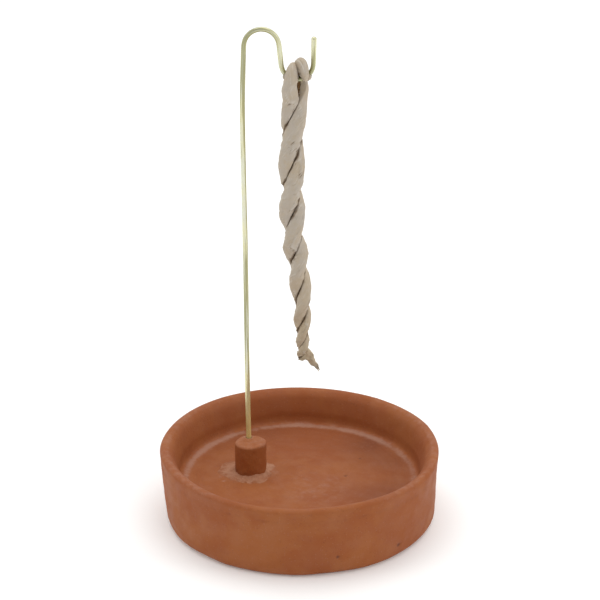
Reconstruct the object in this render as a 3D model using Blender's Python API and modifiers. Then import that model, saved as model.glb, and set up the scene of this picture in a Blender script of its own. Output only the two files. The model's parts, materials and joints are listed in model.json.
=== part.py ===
"""Rope-incense burner: a terracotta dish, a clay post luted on its floor, a bent wire hanger
standing in the post, and a rope of paper and incense powder hanging from the wire's hook.

Units are metres and +Z is up. The origin is the centre of the dish's underside. The hanger's
arch and hook lie in one upright plane, parallel to X. The rope is one paper strand filled with
powder, folded over the hook and twisted on itself.
"""

import math

import bmesh
import bpy
from mathutils import Vector

# Gaps kept between two pieces that touch, between the rope's two strands, and between the
# rope's fold and the wire, round which it swings
SEAT_GAP = 0.0003
STRAND_GAP = 0.0005
FOLD_GAP = 0.0006

# Dish
DISH_RADIUS = 0.0500
DISH_HEIGHT = 0.0268
FLOOR_HEIGHT = 0.0142
WALL_THICKNESS = 0.0054
WALL_TAPER = 0.0016
INNER_WALL_SLOPE = 0.0022
FOOT_ROUNDING = 0.0030
FLOOR_FILLET = 0.0016
DISH_SIDES = 72

# Clay post
POST_CENTRE = (-0.0178, 0.0042)
POST_RADIUS = 0.00565
POST_HEIGHT = 0.0119
POST_ROUNDING = 0.0008
POST_SIDES = 32

# Slip smeared round the post's foot
SLIP_REACH = 0.0036
SLIP_RISE = 0.0014
SLIP_EDGE = 0.0004
SLIP_STEPS = 4

# Blind hole for the wire, near the post's rear side
HOLE_DIRECTION = math.radians(101.5)
HOLE_SIDE_WALL = 0.0010
HOLE_DEPTH = 0.0090
HOLE_SIDES = 24

# Wire hanger. Angles are turned clockwise from straight up, as seen from the front.
WIRE_RADIUS = 0.0009
UPRIGHT_RISE = 0.1476
UPRIGHT_BOW = ((0.0200, -0.0003), (0.0700, -0.0006), (0.1220, -0.0012))
UPRIGHT_LEAN = -0.0006
ARCH_RADIUS = 0.0060
LEG_LENGTH = 0.0075
LEG_TILT = math.radians(5.6)
HOOK_RADIUS = 0.0055
HOOK_END_LENGTH = 0.0096
HOOK_END_TILT = math.radians(1.0)
UPRIGHT_STEPS = 4
BEND_STEPS = 14
WIRE_ROUNDNESS = 3

# Paper rope. Each row is one half turn of the twist: depth below the wire's lowest point in
# the hook, sideways shift of the rope's middle, and the radius of each strand.
HALF_TURNS = (
    (0.0207, -0.0018, 0.00215),
    (0.0402, -0.0019, 0.00220),
    (0.0564, -0.0014, 0.00205),
    (0.0691, 0.0003, 0.00190),
    (0.0837, 0.0016, 0.00165),
    (0.0941, 0.0018, 0.00125),
    (0.1009, 0.0019, 0.00095),
)
FIRST_CROSSING = math.radians(90)
LOOP_TURN = math.radians(252)
LOOP_SHIFT = -0.0005
LOOP_STRAND_RADIUS = 0.0020
LOOP_STEPS = 8
STEPS_PER_HALF_TURN = 5
TAIL = ((0.1045, 0.0042, 0.0009), (0.1098, 0.0079, 0.0006))
PAPER_WALL = 0.00035
CORE_HALF_TURNS = 6
STRAND_ROUNDNESS = 2


def clear_scene():
    """Removes every object of the open scene."""
    for obj in list(bpy.data.objects):
        bpy.data.objects.remove(obj, do_unlink=True)


def make_collection(name):
    """A new collection in the scene."""
    collection = bpy.data.collections.new(name)
    bpy.context.scene.collection.children.link(collection)
    return collection


def make_material(name, colour, roughness, metallic=0.0):
    """A plain Principled material. The colour is linear RGB."""
    material = bpy.data.materials.new(name)
    material.use_nodes = True
    shader = material.node_tree.nodes["Principled BSDF"]
    shader.inputs["Base Color"].default_value = (*colour, 1.0)
    shader.inputs["Roughness"].default_value = roughness
    shader.inputs["Metallic"].default_value = metallic
    return material


def add_object(name, data, collection, material=None):
    """Puts a mesh or curve in a collection, with its material."""
    obj = bpy.data.objects.new(name, data)
    collection.objects.link(obj)
    if material:
        data.materials.append(material)
    return obj


def arc(centre_r, centre_z, radius, start_deg, end_deg, steps):
    """Points (radius, height) of a turned profile along a circle."""
    angles = (start_deg + (end_deg - start_deg) * i / steps for i in range(steps + 1))
    turns = map(math.radians, angles)
    return [
        (centre_r + radius * math.cos(a), centre_z + radius * math.sin(a)) for a in turns
    ]


def turned(name, profile, sides, collection, material, closed=False):
    """A profile turned about Z. Its outer side runs from top to bottom."""
    count = len(profile)
    edges = [(i, (i + 1) % count) for i in range(count if closed else count - 1)]
    mesh = bpy.data.meshes.new(name)
    mesh.from_pydata([(r, 0.0, z) for r, z in profile], edges, [])
    obj = add_object(name, mesh, collection, material)
    screw = obj.modifiers.new("Turn", "SCREW")
    screw.axis = "Z"
    screw.steps = sides
    screw.render_steps = sides
    screw.use_merge_vertices = True
    screw.merge_threshold = 0.00001
    return obj


def tube(name, places, radii, roundness, capped, collection, material):
    """A round tube through places, with its own radius at each of them."""
    curve = bpy.data.curves.new(name, "CURVE")
    curve.dimensions = "3D"
    curve.bevel_depth = max(radii)
    curve.bevel_resolution = roundness
    curve.use_fill_caps = capped
    spline = curve.splines.new("POLY")
    spline.points.add(len(places) - 1)
    for point, place, radius in zip(spline.points, places, radii):
        point.co = (*place, 1.0)
        point.radius = radius / curve.bevel_depth
    return add_object(name, curve, collection, material)


def smooth_rows(rows, steps):
    """Rows of numbers with a smooth (Catmull-Rom) curve's rows put between them."""
    rows = [Vector(row) for row in rows]
    ends = [2 * rows[0] - rows[1], *rows, 2 * rows[-1] - rows[-2]]
    result = []
    for before, start, end, after in zip(ends, ends[1:], ends[2:], ends[3:]):
        for i in range(steps):
            t = i / steps
            result.append(
                start
                + (end - before) * (t / 2)
                + (2 * before - 5 * start + 4 * end - after) * (t**2 / 2)
                + (3 * start - before - 3 * end + after) * (t**3 / 2)
            )
    return [*result, rows[-1]]


def build_dish(collection, clay):
    """Thick floor, slightly tapered wall and round rim, turned as one piece."""
    lip = WALL_THICKNESS / 2
    foot_radius = DISH_RADIUS - WALL_TAPER
    floor_radius = DISH_RADIUS - WALL_THICKNESS - INNER_WALL_SLOPE
    profile = [(0.0, FLOOR_HEIGHT)]
    profile += arc(
        floor_radius - FLOOR_FILLET, FLOOR_HEIGHT + FLOOR_FILLET, FLOOR_FILLET, 270, 350, 4
    )
    profile += arc(DISH_RADIUS - lip, DISH_HEIGHT - lip, lip, 170, 0, 8)
    profile += arc(foot_radius - FOOT_ROUNDING, FOOT_ROUNDING, FOOT_ROUNDING, 0, -90, 5)
    profile.append((0.0, 0.0))
    return turned("dish", profile, DISH_SIDES, collection, clay)


def post_top():
    """Height of the clay post's top."""
    return FLOOR_HEIGHT + SEAT_GAP + POST_HEIGHT


def hole_place():
    """Where the wire stands in the post's top, with a set wall left beside its hole."""
    reach = POST_RADIUS - HOLE_SIDE_WALL - WIRE_RADIUS - SEAT_GAP
    return Vector(POST_CENTRE) + reach * Vector(
        (math.cos(HOLE_DIRECTION), math.sin(HOLE_DIRECTION))
    )


def build_drill(collection):
    """The cutter for the wire's hole. It stands a little out of the post's top."""
    length = HOLE_DEPTH + SEAT_GAP
    shape = bmesh.new()
    bmesh.ops.create_cone(
        shape,
        cap_ends=True,
        segments=HOLE_SIDES,
        radius1=WIRE_RADIUS + SEAT_GAP,
        radius2=WIRE_RADIUS + SEAT_GAP,
        depth=length,
    )
    mesh = bpy.data.meshes.new("wire_drill")
    shape.to_mesh(mesh)
    shape.free()
    drill = add_object("wire_drill", mesh, collection)
    drill.location = (*hole_place(), post_top() + SEAT_GAP - length / 2)
    drill.hide_render = True
    drill.display_type = "WIRE"
    return drill


def build_post(collection, cutters, clay):
    """The clay post, with the blind hole that the wire stands in."""
    side = POST_RADIUS - POST_ROUNDING
    profile = [(0.0, POST_HEIGHT)]
    profile += arc(side, POST_HEIGHT - POST_ROUNDING, POST_ROUNDING, 90, 0, 4)
    profile += [(POST_RADIUS, 0.0), (0.0, 0.0)]
    post = turned("wire_boss", profile, POST_SIDES, collection, clay)
    post.location = (*POST_CENTRE, FLOOR_HEIGHT + SEAT_GAP)
    bore = post.modifiers.new("Wire hole", "BOOLEAN")
    bore.operation = "DIFFERENCE"
    bore.object = build_drill(cutters)
    return post


def build_slip(collection, slip):
    """A ring of slip round the post's foot, hollow-sided, thin at its outer edge."""
    inner = POST_RADIUS + SEAT_GAP
    profile = []
    for i in range(SLIP_STEPS + 1):
        t = i / SLIP_STEPS
        height = SLIP_EDGE + (SLIP_RISE - SLIP_EDGE) * (1 - t) ** 2
        profile.append((inner + SLIP_REACH * t, height))
    profile += [(inner + SLIP_REACH, 0.0), (inner, 0.0)]
    ring = turned("slip_fillet", profile, POST_SIDES, collection, slip, closed=True)
    ring.location = (*POST_CENTRE, FLOOR_HEIGHT + SEAT_GAP)
    return ring


def bend(start, heading, turn, radius):
    """Bends a wire in its plane: (points after start, centre of the bend).

    start is (x, z), heading and turn are clockwise from straight up.
    """
    side = math.copysign(radius, turn)
    centre = start + side * Vector((math.cos(heading), -math.sin(heading)))
    headings = (heading + turn * i / BEND_STEPS for i in range(1, BEND_STEPS + 1))
    return [centre - side * Vector((math.cos(h), -math.sin(h))) for h in headings], centre


def run(start, heading, length):
    """The end of a straight run of wire."""
    return start + length * Vector((math.sin(heading), math.cos(heading)))


def wire_route():
    """(middle line of the wire, its lowest point in the hook), from the hole to the tip."""
    foot_x, plane_y = hole_place()
    foot = Vector((foot_x, post_top() - HOLE_DEPTH + SEAT_GAP))
    mouth = Vector((foot_x, post_top()))
    bows = [mouth + Vector((lean, rise)) for rise, lean in UPRIGHT_BOW]
    shoulder = mouth + Vector((UPRIGHT_LEAN, UPRIGHT_RISE))
    route = [foot, *smooth_rows([mouth, *bows, shoulder], UPRIGHT_STEPS)]

    down = math.pi - LEG_TILT
    arch, _ = bend(shoulder, 0.0, down, ARCH_RADIUS)
    leg_end = run(arch[-1], down, LEG_LENGTH)
    hook, hook_centre = bend(leg_end, down, HOOK_END_TILT - down, HOOK_RADIUS)
    tip = run(hook[-1], HOOK_END_TILT, HOOK_END_LENGTH)
    route += [*arch, leg_end, *hook, tip]
    lowest = hook_centre - Vector((0.0, HOOK_RADIUS))
    return (
        [Vector((x, plane_y, z)) for x, z in route],
        Vector((lowest.x, plane_y, lowest.y)),
    )


def build_wire(collection, metal):
    """The hanger, one bent wire."""
    places, _ = wire_route()
    radii = [WIRE_RADIUS] * len(places)
    return tube("wire_hanger", places, radii, WIRE_ROUNDNESS, True, collection, metal)


def rope_rows():
    """Rows down the rope: depth, sideways shift, strand radius, spread of the strands from
    the rope's middle, and the first strand's angle round it."""
    clear = WIRE_RADIUS + FOLD_GAP + LOOP_STRAND_RADIUS
    loop_spread = clear / abs(math.sin(LOOP_TURN))
    rows = [(0.0, LOOP_SHIFT, LOOP_STRAND_RADIUS, loop_spread, LOOP_TURN)]
    for i, (depth, shift, radius) in enumerate(HALF_TURNS):
        turn = FIRST_CROSSING - math.pi * i
        rows.append((depth, shift, radius, radius + STRAND_GAP / 2, turn))
    return smooth_rows(rows, STEPS_PER_HALF_TURN)


def strand_route(last_row=None):
    """(middle line, radii) of the strand: up one side of the rope, over the wire and down."""
    _, hang = wire_route()
    rows = rope_rows()[:last_row]

    def place(row, half_turns):
        depth, shift, _, spread, turn = row
        around = turn + math.pi * half_turns
        across = Vector((math.cos(around), math.sin(around), 0.0))
        return hang + Vector((shift, 0.0, -depth)) + spread * across

    _, shift, radius, spread, turn = rows[0]
    middle = hang + Vector((shift, 0.0, 0.0))
    across = Vector((math.cos(turn), math.sin(turn), 0.0))
    loop = []
    for i in range(1, LOOP_STEPS):
        over = math.pi * i / LOOP_STEPS
        loop.append(
            middle + spread * (math.cos(over) * across + math.sin(over) * Vector((0, 0, 1)))
        )
    upward = [place(row, 0) for row in reversed(rows)]
    downward = [place(row, 1) for row in rows]
    strand_radii = [row[2] for row in rows]
    radii = [*reversed(strand_radii), *[radius] * len(loop), *strand_radii]
    return upward + loop + downward, radii


def build_paper(collection, paper):
    """The paper strand: a thin hollow tube, open at both ends, with its torn tail."""
    _, hang = wire_route()
    places, radii = strand_route()
    tail = [hang + Vector((shift, 0.0, -depth)) for depth, shift, _ in reversed(TAIL)]
    tail_radii = [radius for _, _, radius in reversed(TAIL)]
    wrap = tube(
        "paper_wrap",
        tail + places,
        tail_radii + radii,
        STRAND_ROUNDNESS,
        False,
        collection,
        paper,
    )
    wall = wrap.modifiers.new("Paper wall", "SOLIDIFY")
    wall.thickness = PAPER_WALL
    wall.offset = -1.0
    return wrap


def build_core(collection, powder):
    """The incense powder inside the paper, stopping short of its thin ends."""
    places, radii = strand_route(CORE_HALF_TURNS * STEPS_PER_HALF_TURN + 1)
    core_radii = [radius - PAPER_WALL - SEAT_GAP for radius in radii]
    return tube(
        "incense_core", places, core_radii, STRAND_ROUNDNESS, True, collection, powder
    )


def main():
    clear_scene()
    burner = make_collection("rope_incense_burner")
    cutters = make_collection("cutters")
    clay = make_material("terracotta", (0.30, 0.105, 0.045), 0.85)
    slip = make_material("slip", (0.36, 0.17, 0.10), 0.9)
    metal = make_material("yellow_wire", (0.62, 0.58, 0.30), 0.28, 1.0)
    paper = make_material("handmade_paper", (0.42, 0.36, 0.28), 0.9)
    powder = make_material("incense_powder", (0.16, 0.09, 0.04), 0.95)
    build_dish(burner, clay)
    build_post(burner, cutters, clay)
    build_slip(burner, slip)
    build_wire(burner, metal)
    build_paper(burner, paper)
    build_core(burner, powder)


main()
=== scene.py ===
"""Looks of the rope-incense burner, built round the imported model.

A terracotta dish with a clay post and its smear of slip, a plated wire hanger and a folded,
twisted paper rope of incense. Each piece is a surface worked out with numpy and dressed with a
procedural material. Everything is in metres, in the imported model's own frame.
"""

from __future__ import annotations

import json
import logging
import math
from dataclasses import dataclass, field
from enum import Enum
from typing import Any, Sequence

import bmesh
import bpy
import numpy as np
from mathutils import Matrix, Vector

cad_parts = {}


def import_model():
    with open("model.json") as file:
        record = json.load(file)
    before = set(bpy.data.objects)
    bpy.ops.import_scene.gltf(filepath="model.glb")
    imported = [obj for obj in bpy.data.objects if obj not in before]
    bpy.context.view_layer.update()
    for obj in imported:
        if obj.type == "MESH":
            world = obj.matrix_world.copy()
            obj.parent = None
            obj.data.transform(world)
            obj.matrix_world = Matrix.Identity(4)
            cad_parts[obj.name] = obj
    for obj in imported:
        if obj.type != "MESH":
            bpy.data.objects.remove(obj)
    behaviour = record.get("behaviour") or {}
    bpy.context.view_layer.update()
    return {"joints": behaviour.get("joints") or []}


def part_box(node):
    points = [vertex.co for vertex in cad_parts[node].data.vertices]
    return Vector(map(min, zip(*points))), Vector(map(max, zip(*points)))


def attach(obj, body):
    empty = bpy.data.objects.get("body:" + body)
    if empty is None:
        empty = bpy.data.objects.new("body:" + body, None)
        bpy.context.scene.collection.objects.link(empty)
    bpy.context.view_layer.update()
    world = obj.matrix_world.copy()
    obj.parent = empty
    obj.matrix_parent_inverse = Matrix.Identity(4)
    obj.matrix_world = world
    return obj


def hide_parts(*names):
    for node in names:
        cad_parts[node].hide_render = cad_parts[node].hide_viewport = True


LOG = logging.getLogger("rope_incense_burner")
MM = 0.001
FULL_TURN = 2.0 * math.pi

Array = np.ndarray
Socket = bpy.types.NodeSocket
Rgb = tuple[int, int, int]
Rows = tuple[tuple[float, ...], ...]


class Body(str, Enum):
    """The rigid bodies that pieces ride on."""

    DISH = "dish"
    HANGER = "hanger"
    ROPE = "rope"


class Slot(str, Enum):
    """The material slots of the record."""

    TERRACOTTA = "terracotta"
    SLIP = "slip"
    WIRE = "yellow_wire"
    PAPER = "handmade_paper"
    POWDER = "incense_powder"


# --- numbers and surfaces ------------------------------------------------------------------


def in_metres(*rows: Sequence[float], kept: int = 0) -> Rows:
    """Rows of millimetres as metres, leaving each row's first kept numbers as they are."""
    return tuple((*row[:kept], *(value * MM for value in row[kept:])) for row in rows)


def round_about(sides: int, shift: float = 0.0) -> tuple[Array, Array]:
    """Angles spaced evenly round a circle, shifted by part of a step, and their unit vectors."""
    turn = (np.arange(sides) + shift) * FULL_TURN / sides
    return turn, np.stack([np.cos(turn), np.sin(turn)], axis=-1)


def smooth_step(low: float, high: float, value: Array) -> Array:
    """Rises from 0 at low to 1 at high as t * t * (3 - 2 t); with high below low it falls.

    Args:
        low: Where the change starts.
        high: Where it ends.
        value: The numbers to read it at.

    Returns:
        Numbers from 0 to 1, shaped as value.
    """
    t = np.clip((value - low) / (high - low), 0.0, 1.0)
    return t * t * (3.0 - 2.0 * t)


def bell(value: Array, centre: float, width: float) -> Array:
    """A bell of height 1: exp(-((value - centre) / width) squared)."""
    return np.exp(-(((value - centre) / width) ** 2))


def smooth_rows(rows: Sequence[Sequence[float]], steps: int) -> Array:
    """A Catmull-Rom curve through rows of numbers, each row being one point of it.

    Args:
        rows: The points, with any number of columns.
        steps: Samples from each row to the next.

    Returns:
        The samples, one row each, ending on the last point.
    """
    points = np.asarray(rows, float)
    padded = np.vstack([2 * points[0] - points[1], points, 2 * points[-1] - points[-2]])
    before, start, end, after = (
        part[:, None, :] for part in (padded[:-3], padded[1:-2], padded[2:-1], padded[3:])
    )
    t = (np.arange(steps) / steps)[None, :, None]
    curve = (
        start
        + (end - before) * (t / 2)
        + (2 * before - 5 * start + 4 * end - after) * (t**2 / 2)
        + (3 * start - before - 3 * end + after) * (t**3 / 2)
    )
    return np.vstack([curve.reshape(-1, points.shape[1]), points[-1:]])


def unit(vectors: Array) -> Array:
    """Vectors scaled to length 1, along the last axis."""
    return vectors / np.maximum(np.linalg.norm(vectors, axis=-1, keepdims=True), 1e-12)


def along_length(points: Array) -> Array:
    """Distance travelled along a line at each of its points, starting at 0."""
    steps = np.linalg.norm(np.diff(points, axis=0), axis=1)
    return np.concatenate([[0.0], np.cumsum(steps)])


def evenly(points: Array, count: int) -> Array:
    """The same line with points at equal distances along it.

    Args:
        points: The line's points.
        count: How many points it gets.

    Returns:
        The new points.
    """
    length = along_length(points)
    wanted = np.linspace(0.0, length[-1], count)
    return np.stack([np.interp(wanted, length, column) for column in points.T], axis=1)


def arc(centre: Sequence[float], radius: float, start: float, end: float, count: int) -> Array:
    """Points of a circular arc: centre + radius * (cos a, sin a), a from start to end.

    Args:
        centre: Middle of the arc, in its plane.
        radius: Its radius.
        start: First angle in degrees.
        end: Last angle in degrees.
        count: Number of points.

    Returns:
        The points, two numbers each.
    """
    angle = np.radians(np.linspace(start, end, count))
    return np.asarray(centre) + radius * np.stack([np.cos(angle), np.sin(angle)], axis=1)


@dataclass(frozen=True)
class LumpField:
    """Smooth pseudo-random lumps in space: numbers on a cubic lattice, blended between.

    Attributes:
        seed: Chooses the lattice's numbers.
        cells: Size of the lattice, after which the lumps repeat.
    """

    seed: int
    cells: int = 32

    def at(self, places: Array, size: float | Sequence[float]) -> Array:
        """Values of about -1 to 1 at places.

        Args:
            places: Points, in an array whose last axis has 3 numbers.
            size: Distance between lattice numbers, the same or one for each axis.

        Returns:
            One number for each point.
        """
        lattice = np.random.default_rng(self.seed).uniform(-1.0, 1.0, (self.cells,) * 3)
        scaled = places / size
        corner = np.floor(scaled).astype(int)
        t = scaled - corner
        t = t * t * (3 - 2 * t)
        total = np.zeros(places.shape[:-1])
        for shift in np.ndindex(2, 2, 2):
            step = np.array(shift)
            index = tuple(np.moveaxis((corner + step) % self.cells, -1, 0))
            total += lattice[index] * np.prod(np.where(step, t, 1 - t), axis=-1)
        return total

    def layered(self, places: Array, size: float, layers: int = 3) -> Array:
        """Lumps on lumps: each layer has half the size and half the height of the last."""
        return sum(self.at(places, size / 2**i) / 2**i for i in range(layers))


@dataclass
class Patch:
    """One grid of surface points with what is painted on it.

    Attributes:
        points: Rows by columns of points, three numbers each.
        marks: Numbers stored at each point, by name, on the same grid.
        flat: The two coordinates of its UV map, in metres along and round the piece.
        capped: Closes its first and last rows with a flat face each.
        torn: Points that are cut away, or None.
    """

    points: Array
    marks: dict[str, Array] = field(default_factory=dict)
    flat: tuple[Array, Array] | None = None
    capped: bool = False
    torn: Array | None = None

    def faces(self) -> list[list[int]]:
        """Quads between neighbours; the last column joins the first.

        Returns:
            The point numbers of each face, turned so that the faces look outward.
        """
        rows, columns = self.points.shape[:2]
        row, column = np.arange(rows - 1)[:, None], np.arange(columns)[None, :]
        beside = (column + 1) % columns
        quads = np.stack(
            [
                row * columns + column,
                row * columns + beside,
                (row + 1) * columns + beside,
                (row + 1) * columns + column,
            ],
            axis=-1,
        ).reshape(-1, 4)
        if self.torn is not None:
            quads = quads[~self.torn.reshape(-1)[quads].any(axis=1)]
        inside_out = self.volume() < 0
        faces = (quads[:, ::-1] if inside_out else quads).tolist()
        if self.capped:
            first = list(range(columns))[:: 1 if inside_out else -1]
            last = list(range((rows - 1) * columns, rows * columns))
            faces += [first, last[:: -1 if inside_out else 1]]
        return faces

    def volume(self) -> float:
        """Volume inside the grid, with each end closed at its middle.

        Returns:
            The volume, which is negative if the grid is inside out.
        """
        rows = [self.points[:1].mean(1, keepdims=True), self.points[-1:].mean(1, keepdims=True)]
        ends = [np.broadcast_to(row, self.points[:1].shape) for row in rows]
        grid = np.concatenate([ends[0], self.points, ends[1]]) - self.points.mean((0, 1))
        beside = np.roll(grid, -1, axis=1)
        first = np.einsum("...i,...i", grid[:-1], np.cross(beside[:-1], beside[1:]))
        second = np.einsum("...i,...i", grid[:-1], np.cross(beside[1:], grid[1:]))
        return float((first + second).sum() / 6.0)


def build_object(name: str, patches: Sequence[Patch], weld: float = 0.0005 * MM) -> bpy.types.Object:
    """Makes one mesh object from patches.

    Args:
        name: Name of the object.
        patches: Its surfaces. All of them have the same marks.
        weld: Points nearer than this are merged, such as those at a pole.

    Returns:
        The object, linked to the scene and shaded smooth.
    """
    faces, start = [], 0
    for patch in patches:
        faces += [[start + corner for corner in face] for face in patch.faces()]
        start += patch.points.shape[0] * patch.points.shape[1]
    mesh = bpy.data.meshes.new(name)
    points = np.concatenate([patch.points.reshape(-1, 3) for patch in patches])
    mesh.from_pydata(points.tolist(), [], faces)
    for key in patches[0].marks:
        values = np.concatenate([patch.marks[key].reshape(-1) for patch in patches])
        mesh.attributes.new(key, "FLOAT", "POINT").data.foreach_set("value", values.astype(np.float32))
    if patches[0].flat:
        flat = np.concatenate(
            [np.stack([part.reshape(-1) for part in patch.flat], axis=-1) for patch in patches]
        )
        corners = np.zeros(len(mesh.loops), np.int32)
        mesh.loops.foreach_get("vertex_index", corners)
        layer = mesh.uv_layers.new(name="Flat")
        layer.data.foreach_set("uv", flat[corners].reshape(-1).astype(np.float32))
    shape = bmesh.new()
    shape.from_mesh(mesh)
    bmesh.ops.remove_doubles(shape, verts=shape.verts, dist=weld)
    loose = [vertex for vertex in shape.verts if not vertex.link_faces]
    bmesh.ops.delete(shape, geom=loose, context="VERTS")
    shape.to_mesh(mesh)
    shape.free()
    mesh.shade_smooth()
    obj = bpy.data.objects.new(name, mesh)
    bpy.context.scene.collection.objects.link(obj)
    return obj


def keep_clear(points: Array, lines: Array, distance: float) -> Array:
    """Moves points that are too near a line straight away from it, to a distance.

    Args:
        points: Grid of points.
        lines: Closely spaced points of the line or lines to keep off.
        distance: The least distance.

    Returns:
        The grid, with the near points moved.
    """
    flat = points.reshape(-1, 3).copy()
    low, high = lines.min(0) - distance, lines.max(0) + distance
    near = np.flatnonzero(((flat > low) & (flat < high)).all(axis=1))
    for block in np.array_split(near, max(1, near.size // 2000)):
        gaps = flat[block][:, None] - lines[None]
        lengths = np.linalg.norm(gaps, axis=-1)
        closest = lengths.argmin(axis=1)
        pick = np.arange(block.size)
        push = np.maximum(distance - lengths[pick, closest], 0.0)
        flat[block] += unit(gaps[pick, closest]) * push[:, None]
    return flat.reshape(points.shape)


def sweep(middle: Array, across: Array, side: Array, outline: tuple[Array, Array]) -> Array:
    """Carries an outline along a line: point = middle + out * across + aside * side.

    Args:
        middle: The line, one point for each row.
        across: Unit vector of the outline's first axis at each row.
        side: Unit vector of its second axis at each row.
        outline: The outline's two coordinates, rows by columns.

    Returns:
        The grid of points.
    """
    out, aside = outline
    return (
        middle[:, None]
        + out[..., None] * across[:, None]
        + aside[..., None] * side[:, None]
    )


# --- shader nodes ----------------------------------------------------------------------------


def paint(colour: Rgb) -> tuple[float, float, float, float]:
    """A screen colour as the linear colour that shaders use.

    Args:
        colour: Red, green and blue from 0 to 255.

    Returns:
        Red, green, blue and an alpha of 1, from 0 to 1.
    """
    channels = (value / 255.0 for value in colour)
    linear = (c / 12.92 if c <= 0.04045 else ((c + 0.055) / 1.055) ** 2.4 for c in channels)
    return (*linear, 1.0)


@dataclass
class Nodes:
    """A node tree, with short ways to add nodes to it."""

    tree: bpy.types.NodeTree

    def add(self, kind: str, feeds: dict[Any, Any] | None = None, **settings: Any) -> bpy.types.Node:
        """Adds a node.

        Args:
            kind: Its type name.
            feeds: What goes into its inputs, by name or number: a socket or a plain value.
            **settings: Properties of the node.

        Returns:
            The node.
        """
        node = self.tree.nodes.new(kind)
        for key, value in settings.items():
            setattr(node, key, value)
        for key, value in (feeds or {}).items():
            self.feed(node.inputs[key], value)
        return node

    def feed(self, socket: Socket, value: Any) -> None:
        """Links a socket to an input, or sets the input to a plain value.

        Args:
            socket: The input.
            value: A socket or a plain value.
        """
        if isinstance(value, bpy.types.NodeSocket):
            self.tree.links.new(value, socket)
        else:
            socket.default_value = value

    def math(self, operation: str, *values: Any) -> Socket:
        """A Math node's result, from sockets or numbers."""
        return self.add("ShaderNodeMath", dict(enumerate(values)), operation=operation).outputs[0]

    def mix(self, share: Any, first: Any, second: Any) -> Socket:
        """A colour between two colours."""
        feeds = {0: share, 6: first, 7: second}
        return self.add("ShaderNodeMix", feeds, data_type="RGBA").outputs[2]

    def noise(self, place: Socket, scale: Any, detail: float = 3.0, rough: float = 0.55) -> Socket:
        """Noise from 0 to 1 at a place."""
        feeds = {"Vector": place, "Scale": scale, "Detail": detail, "Roughness": rough}
        return self.add("ShaderNodeTexNoise", feeds).outputs[0]

    def spread(self, value: Any, low: float, high: float, to_low: Any = 0.0, to_high: Any = 1.0) -> Socket:
        """A value stretched so that low to high becomes to_low to to_high, and held there."""
        feeds = {0: value, 1: low, 2: high, 3: to_low, 4: to_high}
        return self.add("ShaderNodeMapRange", feeds, interpolation_type="SMOOTHSTEP").outputs[0]

    def scaled(self, place: Socket, x: float, y: float, z: float) -> Socket:
        """A place stretched along each axis."""
        return self.add("ShaderNodeMapping", {0: place, 3: (x, y, z)}).outputs[0]

    def mark(self, name: str) -> Socket:
        """A number painted on the mesh."""
        return self.add("ShaderNodeAttribute", attribute_name=name).outputs["Fac"]

    def place(self) -> Socket:
        """Object coordinates."""
        return self.add("ShaderNodeTexCoord").outputs["Object"]

    def group(self, tree: bpy.types.NodeTree, feeds: dict[str, Any]) -> bpy.types.Node:
        """Places a node group.

        Args:
            tree: The group.
            feeds: What goes into its named inputs.

        Returns:
            The group's node.
        """
        node = self.tree.nodes.new("ShaderNodeGroup")
        node.node_tree = tree
        for key, value in feeds.items():
            self.feed(node.inputs[key], value)
        return node


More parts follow.
